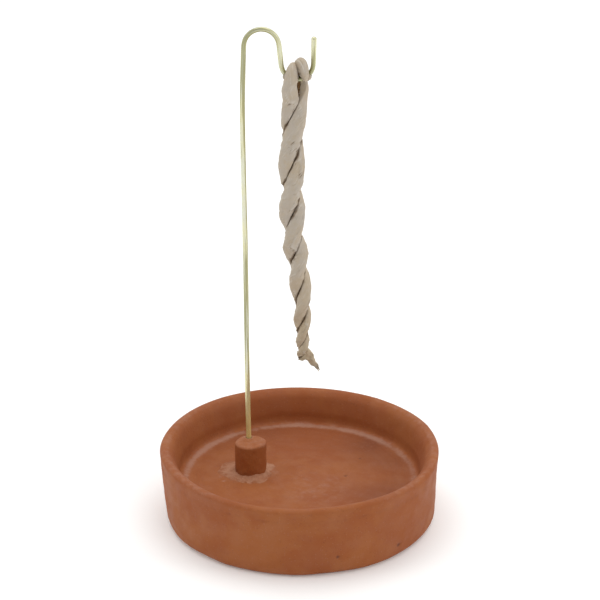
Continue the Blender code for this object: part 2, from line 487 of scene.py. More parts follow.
class SharedEffects:
    """Shader node groups for the effects that more than one finish uses, each built once."""

    def __init__(self) -> None:
        """Builds the groups."""
        self.mottle = self._mottle()
        self.grit = self._grit()
        self.broken_film = self._broken_film()

    @staticmethod
    def _start(
        name: str, inputs: Sequence[tuple[str, str, Any]], outputs: Sequence[tuple[str, str]]
    ) -> tuple[bpy.types.NodeTree, Nodes, bpy.types.Node, bpy.types.Node]:
        """Starts a group.

        Args:
            name: The group's name.
            inputs: Name, kind and first value of each input.
            outputs: Name and kind of each output.

        Returns:
            The tree, its nodes helper, its input node and its output node.
        """
        tree = bpy.data.node_groups.new(name, "ShaderNodeTree")
        for label, kind, value in inputs:
            socket = tree.interface.new_socket(label, in_out="INPUT", socket_type=f"NodeSocket{kind}")
            if value is not None:
                socket.default_value = value
        for label, kind in outputs:
            tree.interface.new_socket(label, in_out="OUTPUT", socket_type=f"NodeSocket{kind}")
        nodes = Nodes(tree)
        return tree, nodes, nodes.add("NodeGroupInput"), nodes.add("NodeGroupOutput")

    def clouds(
        self, nodes: Nodes, place: Socket, scale: float, base: Rgb, second: Rgb, amount: float
    ) -> Socket:
        """A colour with soft clouds of a second one on it."""
        feeds = {"Place": place, "Scale": scale, "Base": paint(base), "Clouds": paint(second)}
        return nodes.group(self.mottle, {**feeds, "Amount": amount}).outputs["Colour"]

    def film(
        self, nodes: Nodes, place: Socket, colour: Socket, film: Rgb, mark: str, amount: float, breaks: float
    ) -> Socket:
        """A colour with a broken film of another one where the mesh is marked."""
        feeds = {"Place": place, "Colour": colour, "Film": paint(film), "Mark": nodes.mark(mark)}
        return nodes.group(self.broken_film, {**feeds, "Amount": amount, "Break": breaks}).outputs["Colour"]

    def grains(self, nodes: Nodes, place: Socket, count: float, share: float) -> bpy.types.Node:
        """Fine grains at a place, by their number in a metre and the share that stands out."""
        return nodes.group(self.grit, {"Place": place, "Grains": count, "Share": share})

    def _mottle(self) -> bpy.types.NodeTree:
        """Soft clouds of a second colour, from two sizes of noise, over a base colour.

        Returns:
            The group, with Place, Scale, Base, Clouds and Amount in and Colour out.
        """
        tree, nodes, start, end = self._start(
            "Mottle",
            [
                ("Place", "Vector", None),
                ("Scale", "Float", 60.0),
                ("Base", "Color", None),
                ("Clouds", "Color", None),
                ("Amount", "Float", 0.5),
            ],
            [("Colour", "Color")],
        )
        broad = nodes.noise(start.outputs["Place"], start.outputs["Scale"], 2.0)
        finer = nodes.math("MULTIPLY", start.outputs["Scale"], 5.3)
        fine = nodes.noise(start.outputs["Place"], finer, 4.0, 0.6)
        both = nodes.math("ADD", nodes.math("MULTIPLY", broad, 0.62), nodes.math("MULTIPLY", fine, 0.38))
        mask = nodes.math("MULTIPLY", nodes.spread(both, 0.40, 0.62), start.outputs["Amount"])
        nodes.feed(end.inputs["Colour"], nodes.mix(mask, start.outputs["Base"], start.outputs["Clouds"]))
        return tree

    def _grit(self) -> bpy.types.NodeTree:
        """Fine grains: small cells, some dark and some light, with little dents between them.

        Returns:
            The group, with Place, Grains and Share in and Light, Dark and Height out.
        """
        tree, nodes, start, end = self._start(
            "Grit",
            [("Place", "Vector", None), ("Grains", "Float", 1500.0), ("Share", "Float", 0.12)],
            [("Light", "Float"), ("Dark", "Float"), ("Height", "Float")],
        )
        feeds = {"Vector": start.outputs["Place"], "Scale": start.outputs["Grains"]}
        cells = nodes.add("ShaderNodeTexVoronoi", feeds)
        pick = nodes.add("ShaderNodeSeparateColor", {0: cells.outputs["Color"]})
        near = nodes.spread(cells.outputs["Distance"], 0.5, 0.25)
        share = start.outputs["Share"]
        light = nodes.math("MULTIPLY", nodes.math("LESS_THAN", pick.outputs[0], share), near)
        dark = nodes.math("MULTIPLY", nodes.math("LESS_THAN", pick.outputs[1], share), near)
        rough = nodes.noise(start.outputs["Place"], start.outputs["Grains"], 3.0, 0.65)
        nodes.feed(end.inputs["Light"], light)
        nodes.feed(end.inputs["Dark"], dark)
        height = nodes.math("SUBTRACT", rough, nodes.math("MULTIPLY", dark, 0.6))
        nodes.feed(end.inputs["Height"], height)
        return tree

    # The film lays slip wash, thin slip and powder stain, and also painted shade, painted sheen and painted
    # highlight from the marks.
    def _broken_film(self) -> bpy.types.NodeTree:
        """A pale or dark film over a colour where the mesh is marked, broken up by noise.

        Returns:
            The group, with Place, Colour, Film, Mark, Amount and Break in and Colour out.
        """
        tree, nodes, start, end = self._start(
            "Dusting",
            [
                ("Place", "Vector", None),
                ("Colour", "Color", None),
                ("Film", "Color", None),
                ("Mark", "Float", 0.0),
                ("Amount", "Float", 0.5),
                ("Break", "Float", 300.0),
            ],
            [("Colour", "Color")],
        )
        broken = nodes.noise(start.outputs["Place"], start.outputs["Break"], 5.0, 0.65)
        edge = nodes.math("ADD", start.outputs["Mark"], nodes.math("SUBTRACT", broken, 0.5))
        mask = nodes.math("MULTIPLY", nodes.spread(edge, 0.15, 0.95), start.outputs["Amount"])
        colour = nodes.mix(mask, start.outputs["Colour"], start.outputs["Film"])
        nodes.feed(end.inputs["Colour"], colour)
        return tree


def new_finish(name: str) -> tuple[bpy.types.Material, Nodes, bpy.types.Node]:
    """Starts a material.

    Args:
        name: Its name.

    Returns:
        The material, its nodes helper and its Principled shader, already linked.
    """
    material = bpy.data.materials.new(name)
    material.use_nodes = True
    material.node_tree.nodes.clear()
    nodes = Nodes(material.node_tree)
    shader = nodes.add("ShaderNodeBsdfPrincipled")
    nodes.add("ShaderNodeOutputMaterial", {"Surface": shader.outputs[0]})
    return material, nodes, shader


def dress(
    nodes: Nodes, shader: bpy.types.Node, colour: Socket, rough: Any, height: Socket, depth: float
) -> None:
    """Gives a shader its colour, roughness and relief.

    Args:
        nodes: The material's nodes helper.
        shader: Its Principled shader.
        colour: The base colour.
        rough: The roughness, a socket or one number for the whole surface.
        height: Relief from 0 to 1.
        depth: What a height of 1 stands for, in metres.
    """
    relief = nodes.add("ShaderNodeBump", {"Height": height, "Distance": depth, "Strength": 1.0})
    feeds = {"Base Color": colour, "Roughness": rough, "Normal": relief.outputs[0]}
    for key, value in feeds.items():
        nodes.feed(shader.inputs[key], value)


@dataclass(frozen=True)
class TerracottaFinish:
    """Bare fired clay: orange brown, cloudy, with fine grit, a pale slip wash, and painted sheen, highlight
    and shade.
    """

    clay: Rgb = (151, 83, 32)
    warm: Rgb = (142, 71, 22)
    deep: Rgb = (116, 56, 20)
    # pale: light grains, the slip wash, and the painted sheen and highlight
    pale: Rgb = (170, 124, 102)
    # dark: dark grains and the painted shade
    dark: Rgb = (86, 42, 22)

    def build(self, effects: SharedEffects) -> bpy.types.Material:
        """Makes the material from the marks pale, dark and deep on the mesh: pale is the slip wash with
        painted sheen and highlight, dark is painted shade, deep is the darker back and right of the floor.

        Args:
            effects: The shared node groups.

        Returns:
            The material.
        """
        material, nodes, shader = new_finish("terracotta")
        place = nodes.place()
        cloudy = effects.clouds(nodes, place, 38.0, self.clay, self.warm, 0.8)
        toned = nodes.mix(nodes.mark("deep"), cloudy, paint(self.deep))
        # Pale film: the slip wash, with painted sheen and painted highlight.
        wash_and_painted_light = effects.film(nodes, place, toned, self.pale, "pale", 0.75, 420.0)
        # Dark film: painted shade in the pits, under the lip and on the post.
        darkened = effects.film(nodes, place, wash_and_painted_light, self.dark, "dark", 0.8, 260.0)
        grit = effects.grains(nodes, place, 1700.0, 0.10)
        speck = nodes.mix(nodes.math("MULTIPLY", grit.outputs["Light"], 0.16), darkened, paint(self.pale))
        speck = nodes.mix(nodes.math("MULTIPLY", grit.outputs["Dark"], 0.22), speck, paint(self.dark))
        rough = nodes.spread(nodes.noise(place, 150.0), 0.3, 0.7, 0.62, 0.80)
        dress(nodes, shader, speck, rough, grit.outputs["Height"], 0.05 * MM)
        return material


@dataclass(frozen=True)
class SlipFinish:
    """Dried clay slip: paler and greyer than the dish, chalky and grainy."""

    chalk: Rgb = (172, 122, 93)
    clay: Rgb = (146, 86, 50)

    def build(self, effects: SharedEffects) -> bpy.types.Material:
        """Makes the material from the mark thin, which lets the clay below show.

        Args:
            effects: The shared node groups.

        Returns:
            The material.
        """
        material, nodes, shader = new_finish("slip")
        place = nodes.place()
        cloudy = effects.clouds(nodes, place, 150.0, self.chalk, self.clay, 0.5)
        colour = effects.film(nodes, place, cloudy, self.clay, "thin", 0.85, 420.0)
        grit = effects.grains(nodes, place, 2600.0, 0.2)
        dress(nodes, shader, colour, 0.9, grit.outputs["Height"], 0.06 * MM)
        return material


@dataclass(frozen=True)
class PlatedWireFinish:
    """Yellow-plated steel wire: greenish gold, drawn lengthways, with duller patches."""

    plate: Rgb = (219, 221, 202)
    # gold: the plating's clouds and the painted highlight
    gold: Rgb = (232, 222, 142)
    dull: Rgb = (146, 143, 92)

    def build(self, effects: SharedEffects) -> bpy.types.Material:
        """Makes the material; its streaks follow the UV map along the wire.

        Args:
            effects: The shared node groups.

        Returns:
            The material.
        """
        material, nodes, shader = new_finish("yellow_wire")
        flat = nodes.add("ShaderNodeTexCoord").outputs["UV"]
        streak = nodes.noise(nodes.scaled(flat, 24.0, 900.0, 1.0), 1.0, 4.0, 0.6)
        cloudy = effects.clouds(nodes, nodes.scaled(flat, 1.0, 3.0, 1.0), 40.0, self.plate, self.gold, 0.4)
        share = nodes.math("MULTIPLY", nodes.spread(streak, 0.46, 0.56), 0.80)
        drawn = nodes.mix(share, cloudy, paint(self.dull))
        bent = nodes.mix(nodes.mark("olive"), drawn, paint(self.dull))
        # Painted highlight: a lighter gold where the mesh is marked.
        golden = nodes.mix(nodes.mark("golden"), bent, paint(self.gold))
        shader.inputs["Metallic"].default_value = 0.5
        rough = nodes.spread(streak, 0.3, 0.7, 0.18, 0.36)
        dress(nodes, shader, golden, rough, streak, 0.012 * MM)
        return material


@dataclass(frozen=True)
class PaperFinish:
    """Handmade paper: grey beige with fine fibres, warmer, and darker along its seams with powder stain and
    painted shade.
    """

    sheet: Rgb = (180, 169, 155)
    warm: Rgb = (180, 161, 133)
    # Brown of the fibres, of the powder stain and of the painted shade at the seams.
    stain_and_shade: Rgb = (98, 76, 50)
    fibre: Rgb = (206, 199, 188)

    def build(self, effects: SharedEffects) -> bpy.types.Material:
        """Makes the material; its fibres follow the UV map, and its stains and painted shade follow the
        marks.

        Args:
            effects: The shared node groups.

        Returns:
            The material.
        """
        material, nodes, shader = new_finish("handmade_paper")
        flat = nodes.add("ShaderNodeTexCoord").outputs["UV"]
        place = nodes.place()
        cloudy = effects.clouds(nodes, place, 130.0, self.sheet, self.warm, 0.55)
        tinted = nodes.mix(nodes.mark("warm"), cloudy, paint(self.warm))
        bent = nodes.add("ShaderNodeVectorRotate", {0: flat, 3: 0.5}, rotation_type="Z_AXIS").outputs[0]
        long_fibre = nodes.noise(nodes.scaled(flat, 260.0, 2100.0, 1.0), 1.0, 3.0, 0.6)
        cross_fibre = nodes.noise(nodes.scaled(bent, 2300.0, 420.0, 1.0), 1.0, 3.0, 0.6)
        pale = nodes.math("MULTIPLY", nodes.spread(long_fibre, 0.56, 0.70), 0.5)
        fibrous = nodes.mix(pale, tinted, paint(self.fibre))
        brown = nodes.math("MULTIPLY", nodes.spread(cross_fibre, 0.60, 0.74), 0.30)
        fibrous = nodes.mix(brown, fibrous, paint(self.stain_and_shade))
        edged = nodes.mix(nodes.math("MULTIPLY", nodes.mark("edge"), 0.55), fibrous, paint(self.fibre))
        # The seam mark: powder stain, with painted shade in the crevices and under the wound edges.
        darkened = effects.film(nodes, place, edged, self.stain_and_shade, "seam", 0.86, 700.0)
        dress(nodes, shader, darkened, 0.86, nodes.math("ADD", long_fibre, cross_fibre), 0.05 * MM)
        return material


@dataclass(frozen=True)
class PowderFinish:
    """Incense powder: warm brown grains of several shades."""

    brown: Rgb = (142, 106, 68)
    dark: Rgb = (84, 56, 32)
    light: Rgb = (190, 156, 108)

    def build(self, effects: SharedEffects) -> bpy.types.Material:
        """Makes the material.

        Args:
            effects: The shared node groups.

        Returns:
            The material.
        """
        material, nodes, shader = new_finish("incense_powder")
        place = nodes.place()
        cloudy = effects.clouds(nodes, place, 420.0, self.brown, self.dark, 0.8)
        grit = effects.grains(nodes, place, 3400.0, 0.3)
        colour = nodes.mix(grit.outputs["Light"], cloudy, paint(self.light))
        colour = nodes.mix(grit.outputs["Dark"], colour, paint(self.dark))
        dress(nodes, shader, colour, 0.95, grit.outputs["Height"], 0.16 * MM)
        return material


# --- the dish, its post and its slip ----------------------------------------------------------


def box_of(node: str) -> tuple[Array, Array]:
    """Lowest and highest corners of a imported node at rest."""
    low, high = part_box(node)
    return np.array(low), np.array(high)


def finish_piece(
    obj: bpy.types.Object, material: bpy.types.Material, slot: Slot, body: Body, *nodes: str
) -> bpy.types.Object:
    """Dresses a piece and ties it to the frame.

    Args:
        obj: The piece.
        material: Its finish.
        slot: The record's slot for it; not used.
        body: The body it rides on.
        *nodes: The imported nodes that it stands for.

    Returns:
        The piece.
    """
    obj.data.materials.append(material)
    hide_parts(*nodes)
    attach(obj, body.value)
    LOG.info("%s: %d points on %s", obj.name, len(obj.data.vertices), body.value)
    return obj


@dataclass
class Dish:
    """The thrown terracotta dish: a turned profile with the unevenness of handwork.

    Each row of pits is one little hole, where a grain popped out: the three numbers of its
    middle, half of its width and its depth. Each row of lip_inside is a point of the inner
    wall under the lip: how far in from the rim and how far down.
    """

    wall: float = 5.4 * MM
    wall_taper: float = 1.6 * MM
    inner_slope: float = 2.2 * MM
    foot_rounding: float = 3.0 * MM
    lip_rounding: float = 1.5 * MM
    inner_fillet: float = 1.6 * MM
    lip_inside: Rows = in_metres((1.9, 0.02), (3.0, 0.45), (4.4, 1.9), (5.5, 4.4), (6.3, 7.4))
    floor_height: float = 14.2 * MM
    ring_width: float = 1.5 * MM
    sides: int = 420
    under_rows: int = 6
    curve_rows: int = 12
    outer_rows: int = 58
    inner_rows: int = 48
    floor_rows: int = 96
    lumps: LumpField = LumpField(7)
    fine: LumpField = LumpField(11)
    pits: Rows = in_metres(
        (16.5, 1.7, 14.1, 0.65, 0.70),
        (-12.0, 1.7, 14.1, 0.70, 0.60),
        (22.0, 15.0, 14.1, 0.50, 0.35),
        (34.8, -34.1, 5.0, 0.95, 0.60),
        (13.0, -46.9, 7.5, 0.80, 0.35),
    )

    def __post_init__(self) -> None:
        """Takes the dish's radius and height from the frame."""
        low, high = box_of("dish")
        self.radius = float(high[0] - low[0]) / 2.0
        self.height = float(high[2])

    def profile(self) -> Array:
        """Half of the dish's section, from under its middle, up the wall and over the floor.

        Returns:
            Rows of radius and height: straight runs, a rounded foot, a lip that is a small arc
            outside, one smooth curve from the lip down the inner wall, and the floor.
        """
        lip = self.lip_rounding
        foot = self.radius - self.wall_taper
        round_foot = self.foot_rounding
        lip_top = self.height - lip
        inner_foot = self.radius - self.wall - self.inner_slope
        run = np.linspace(0.0, foot - round_foot, self.under_rows)
        under = np.stack([run, np.zeros_like(run)], axis=1)
        foot_arc = arc((foot - round_foot, round_foot), round_foot, -90, 0, self.curve_rows)
        outer = np.linspace((foot, round_foot), (self.radius, lip_top), self.outer_rows)
        lip_arc = arc((self.radius - lip, lip_top), lip, 0, 90, self.curve_rows)
        inside = [(self.radius - run, self.height - fall) for run, fall in self.lip_inside]
        inside += [(inner_foot + rise * 0.4, self.floor_height + rise) for rise in (2.4 * MM, 0.7 * MM)]
        inside.append((inner_foot - self.inner_fillet, self.floor_height))
        inner = evenly(smooth_rows(inside, self.curve_rows), self.inner_rows)
        floor = np.linspace(inner[-1], (0.0, self.floor_height), self.floor_rows)
        return np.concatenate([under, foot_arc[1:], outer[1:], lip_arc[1:], inner, floor[1:]])

    def surface(self) -> Patch:
        """The profile turned round Z, then pushed about by handwork and tools.

        Radius and height take broad lumps, the wall low throwing rings, the floor turning
        rings of height sin(radius / step) and a raised ring at its edge, and each pit a bell.

        Returns:
            The surface, marked with where it is pale (slip wash, and painted highlight and sheen), dark
            (painted shade) and deep (darker towards the back and right of the floor).
        """
        profile = self.profile()
        _, way = round_about(self.sides)
        radius, height = (np.repeat(column[:, None], self.sides, 1) for column in profile.T)
        inward = np.arange(len(profile))[:, None] > np.argmax(profile[:, 1])
        spot = np.concatenate([way * np.ones_like(radius)[..., None], height[..., None] * 30], -1)
        spot = spot * 0.05

        share = smooth_step(0.0, self.height, height)
        wobble = self.lumps.at(spot, 0.030) * 0.42 * MM
        wobble += self.lumps.at(spot + 3.1, 0.012) * 0.10 * MM
        lift = self.lumps.at(spot + 7.7, 0.034) * 0.35 * MM * share
        outside = ~inward & (height > 0.1 * MM)
        foot_share = smooth_step(6.0 * MM, 0.0, height) * outside
        chips = np.clip(self.lumps.at(spot + 1.3, 0.016), 0.0, 1.0)
        radius = radius + wobble * smooth_step(8 * MM, 30 * MM, radius) - chips * foot_share * 0.7 * MM
        wall_mask = smooth_step(self.floor_height + 1 * MM, self.floor_height + 4 * MM, height)
        throwing = np.sin(height / (1.05 * MM) + 2 * self.lumps.at(spot, 0.02))
        radius = radius + throwing * 0.035 * MM * np.where(inward, wall_mask, 1.0)
        # A slight groove under the lip; the same band is darkened as painted shade in the dark mark.
        under_lip = bell(height, self.height - 4.6 * MM, 1.1 * MM) * ~inward
        radius = radius - under_lip * 0.08 * MM

        on_floor = inward & (height < self.floor_height + 0.3 * MM)
        ring = bell(radius, self.radius - self.wall - self.inner_slope - 1.4 * MM, self.ring_width)
        ring = ring * inward * smooth_step(self.floor_height + 3 * MM, self.floor_height + 1 * MM, height)
        turning = np.sin(radius / (0.52 * MM) + 1.5 * self.lumps.at(spot, 0.05))
        floor_mask = on_floor * smooth_step(0.0, 10 * MM, radius)
        lift = lift + turning * 0.03 * MM * floor_mask + ring * 0.28 * MM
        floor_dish = on_floor * smooth_step(self.radius, 0.0, radius) * 0.25 * MM

        points = np.stack([radius * way[:, 0], radius * way[:, 1], height + lift - floor_dish], -1)
        broad = self.fine.layered(points, 9.0 * MM, 3) * 0.07 * MM
        grain = self.fine.layered(points + 0.5, 1.6 * MM, 2) * 0.018 * MM
        points[..., 2] += np.where(on_floor, broad + grain, 0.0)
        points[..., :2] += way * np.where(on_floor | (height < 0.01 * MM), 0.0, broad + grain)[..., None]

        # The floor is darker towards its back and right.
        tinted = 0.50 * bell(points[..., 0], 31 * MM, 15 * MM)
        tinted = tinted + 0.44 * smooth_step(4 * MM, 34 * MM, points[..., 1])
        deep = tinted * on_floor * (0.8 + 0.5 * self.lumps.at(points, 12 * MM))
        # dark is painted shade: inside each pit and in the band under the lip.
        dark = np.zeros_like(radius)
        for *place, width, depth in self.pits:
            dent = bell(np.linalg.norm(points - np.array(place), axis=-1), 0.0, width)
            dark = np.maximum(dark, dent)
            points[..., 2] -= dent * depth * on_floor
            points[..., :2] -= way * (dent * depth * outside)[..., None]
        points[..., 2] = np.maximum(points[..., 2], 0.0)
        points[0, :, :2] = points[-1, :, :2] = 0.0
        points[0, :, 2] = 0.0
        points[-1, :, 2] = points[-2, :, 2].mean()
        marks = {"pale": self.pale(points, ring, on_floor), "dark": dark + under_lip * 0.25, "deep": deep}
        return Patch(points, {name: np.clip(mark, 0.0, 1.0) for name, mark in marks.items()})

    def pale(self, points: Array, ring: Array, on_floor: Array) -> Array:
        """How pale the clay is: painted highlight along the floor's edge ring, a slip wash round the post,
        and painted sheen on the floor and on the rim's top at the sides.

        Args:
            points: The dish's surface.
            ring: Strength of the raised ring at each point.
            on_floor: Which points are on the floor.

        Returns:
            Numbers from 0 to 1.
        """
        low, high = box_of("wire_boss")
        post = (low + high)[:2] / 2.0
        away = np.linalg.norm(points[..., :2] - post, axis=-1)
        turn = np.arctan2(points[..., 1] - post[1], points[..., 0] - post[0])
        reach = 9.6 * MM + 2.6 * MM * self.lumps.at(
            np.stack([np.cos(turn), np.sin(turn), np.zeros_like(turn)], -1) * 1.6, 1.0
        )
        reach = reach + 2.0 * MM * bell(np.abs(turn), math.pi, 0.9)
        streaky = 0.5 + 0.5 * self.lumps.layered(points, 2.2 * MM, 3)
        wash = smooth_step(1.0, 0.80, away / reach) * on_floor * 0.55 * streaky
        broken = smooth_step(-0.1, 0.6, self.fine.layered(points + 0.9, 4.0 * MM, 2))
        rim = bell(away / reach, 0.92, 0.09) * on_floor * broken * 0.75
        wash = np.maximum(wash, rim)
        # Painted sheen: the front middle of the floor is paler.
        middle = bell(points[..., 0], 6 * MM, 17 * MM) * bell(points[..., 1], -8 * MM, 16 * MM)
        painted_floor_sheen = 0.34 * middle * on_floor
        patchy = 0.85 + 0.5 * self.lumps.at(points, 9.0 * MM)
        # Painted sheen: the rim's top is paler towards the left and right.
        lip = 0.36 * smooth_step(self.height - 1.2 * MM, self.height - 0.2 * MM, points[..., 2])
        lip = lip * smooth_step(10 * MM, 38 * MM, np.abs(points[..., 0]))
        # ring: painted highlight on the raised ring at the floor's edge.
        return np.clip(ring * 0.85 * patchy + wash + painted_floor_sheen + lip, 0.0, 1.0)

    def build(self, clay: bpy.types.Material) -> bpy.types.Object:
        """Makes the dish and ties it to its body."""
        obj = build_object("dish_body", [self.surface()])
        return finish_piece(obj, clay, Slot.TERRACOTTA, Body.DISH, "dish")


@dataclass
class Post:
    """The clay post that holds the wire, with its blind hole to one side."""

    wire_at: Array
    hole_radius: float = 1.02 * MM
    hole_depth: float = 9.0 * MM
    rounding: float = 0.95 * MM
    sunk: float = 0.6 * MM
    mouth_drop: float = 0.15 * MM
    sides: int = 128
    side_rows: int = 34
    edge_rows: int = 10
    top_rows: int = 30
    hole_rows: int = 24
    lumps: LumpField = LumpField(23)

    def __post_init__(self) -> None:
        """Takes the post's place, radius and height from the frame."""
        low, high = box_of("wire_boss")
        self.centre = (low + high)[:2] / 2.0
        self.radius = float(high[0] - low[0]) / 2.0
        self.foot = float(low[2]) - self.sunk
        self.top = float(high[2])

    def surface(self) -> Patch:
        """Circles that climb the side, round the edge, close in on the hole and go down it.

        On the top each circle is a blend between the post's edge and the hole's mouth:
        (1 - share) * edge + share * mouth, so the circles slide across to the hole.

        Returns:
            The surface, marked with where it is pale (painted highlight on its top and round the hole's
            raised lip) and dark (painted shade low on its side, more on the left, and down the hole).
        """
        _, way = round_about(self.sides)
        edge = self.radius - self.rounding
        shoulder = self.top - self.rounding
        climb = np.linspace(self.foot, shoulder, self.side_rows)
        side = np.stack([np.full_like(climb, self.radius), climb], axis=1)
        rounded = arc((edge, shoulder), self.rounding, 0, 90, self.edge_rows)
        outline = np.concatenate([side, rounded[1:]])
        heights = np.broadcast_to(outline[:, 1][:, None, None], (len(outline), self.sides, 1))
        rings = np.concatenate([self.centre + outline[:, :1, None] * way, heights], axis=-1)
        mouth = self.wire_at[:2] + self.hole_radius * way
        share = np.linspace(0.0, 1.0, self.top_rows)[1:, None, None]
        flat = (1 - share) * (self.centre + edge * way) + share * mouth
        top = np.concatenate([flat, np.full((*flat.shape[:2], 1), self.top)], axis=-1)
        end = self.top - self.hole_depth
        down = np.linspace(self.top - self.mouth_drop, end, self.hole_rows)[:, None, None]
        walls = np.broadcast_to(mouth, (self.hole_rows, *mouth.shape))
        hole = np.concatenate([walls, np.broadcast_to(down, (*walls.shape[:2], 1))], -1)
        bottom = np.broadcast_to([*self.wire_at[:2], end], (1, self.sides, 3))
        points = np.concatenate([rings, top, hole, bottom]).copy()
        row = np.arange(len(points))[:, None]
        body = row < len(outline) + len(top)
        broad = self.lumps.layered(points, 3.6 * MM, 3) * 0.16 * MM
        grain = self.lumps.layered(points + 0.4, 0.9 * MM, 2) * 0.03 * MM
        points[..., :2] += way * np.where(row < len(outline), broad + grain, 0)[..., None]
        on_top = smooth_step(self.top - 2.2 * MM, self.top, points[..., 2]) * body
        tilt = (points[..., 0] - self.centre[0]) * 0.035 - (points[..., 1] - self.centre[1]) * 0.02
        knobbly = self.lumps.at(points + 0.2, 2.6 * MM) * 0.22 * MM
        points[..., 2] += on_top * (knobbly + grain + tilt - 0.1 * MM)
        near_hole = np.linalg.norm(points[..., :2] - self.wire_at[:2], axis=-1)
        lip = bell(near_hole, self.hole_radius + 0.35 * MM, 0.45 * MM) * on_top
        points[..., 2] += lip * 0.18 * MM
        low_side = smooth_step(self.foot + 5.5 * MM, self.foot + 1.2 * MM, points[..., 2])
        left = 0.5 - 0.5 * way[:, 0]
        marks = {
            # Painted highlight on the top and on the raised lip round the hole.
            "pale": np.clip(0.35 * on_top * (1 - lip) + 0.5 * lip, 0, 1),
            # Painted shade low on the side, more on the left, and down the hole.
            "dark": np.clip(low_side * (0.22 + 0.30 * left) + (~body) * 0.9, 0, 1),
        }
        return Patch(points, marks, capped=True)

    def build(self, clay: bpy.types.Material) -> bpy.types.Object:
        """Makes the post and ties it to its body."""
        obj = build_object("wire_post", [self.surface()])
        return finish_piece(obj, clay, Slot.TERRACOTTA, Body.DISH, "wire_boss")


@dataclass
class Slip:
    """The smear of slip that was wiped round the post's foot to hold it."""

    post: Post
    floor: float
    rise: float = 1.5 * MM
    film: float = 0.10 * MM
    tuck: float = 0.4 * MM
    least_reach: float = 1.2 * MM
    sides: int = 220
    steps: int = 46
    lumps: LumpField = LumpField(31)

    def surface(self) -> Patch:
        """An uneven collar: height = rise * (1 - share) to the power 2.4 + film, share outward.

        Its outer edge wanders with the angle and dips under the floor, and the same grid runs
        back underneath to close it.

        Returns:
            The surface, marked with where the slip is thin.
        """
        turn, way = round_about(self.sides)
        circle = np.concatenate([way * 1.5, np.zeros((self.sides, 1))], axis=1)
        reach = 3.1 * MM + 2.1 * MM * self.lumps.layered(circle, 0.8, 3)
        reach = reach + 2.2 * MM * bell(np.abs(turn - math.pi * 1.02), 0.0, 0.75)
        share = np.linspace(0.0, 1.0, self.steps)[:, None]
        start = self.post.radius - self.tuck
        radius = start + (self.tuck + np.maximum(reach, self.least_reach)) * share
        around = self.post.centre + radius[..., None] * way
        places = np.concatenate([around, np.full((*radius.shape, 1), self.floor)], -1)
        ragged = self.lumps.layered(places, 1.5 * MM, 3)
        wipe = self.lumps.at(places * np.array([0.35, 1.0, 1.0]) + 0.3, 0.8 * MM)
        uneven = 0.75 + 0.5 * self.lumps.at(circle + 4.0, 0.9)[None]
        height = self.rise * uneven * (1 - share) ** 2.4 + self.film * (1 - share**6)
        height = height + (ragged * 0.20 + wipe * 0.12) * MM * (1 - share**3)
        height = np.maximum(height, -0.15 * MM) - 0.30 * MM * share**12
        top = places.copy()
        top[..., 2] = self.floor + height
        under = places[::-1].copy()
        under[..., 2] = self.floor - 0.35 * MM
        thin = np.clip(smooth_step(0.25, 1.0, share) * (0.65 + 0.6 * ragged), 0, 1)
        marks = {"thin": np.concatenate([thin, thin[::-1], thin[:1]])}
        return Patch(np.concatenate([top, under, top[:1]]), marks)

    def build(self, chalk: bpy.types.Material) -> bpy.types.Object:
        """Makes the slip and ties it to its body."""
        obj = build_object("slip_smear", [self.surface()])
        return finish_piece(obj, chalk, Slot.SLIP, Body.DISH, "slip_fillet")


# --- the wire hanger --------------------------------------------------------------------------


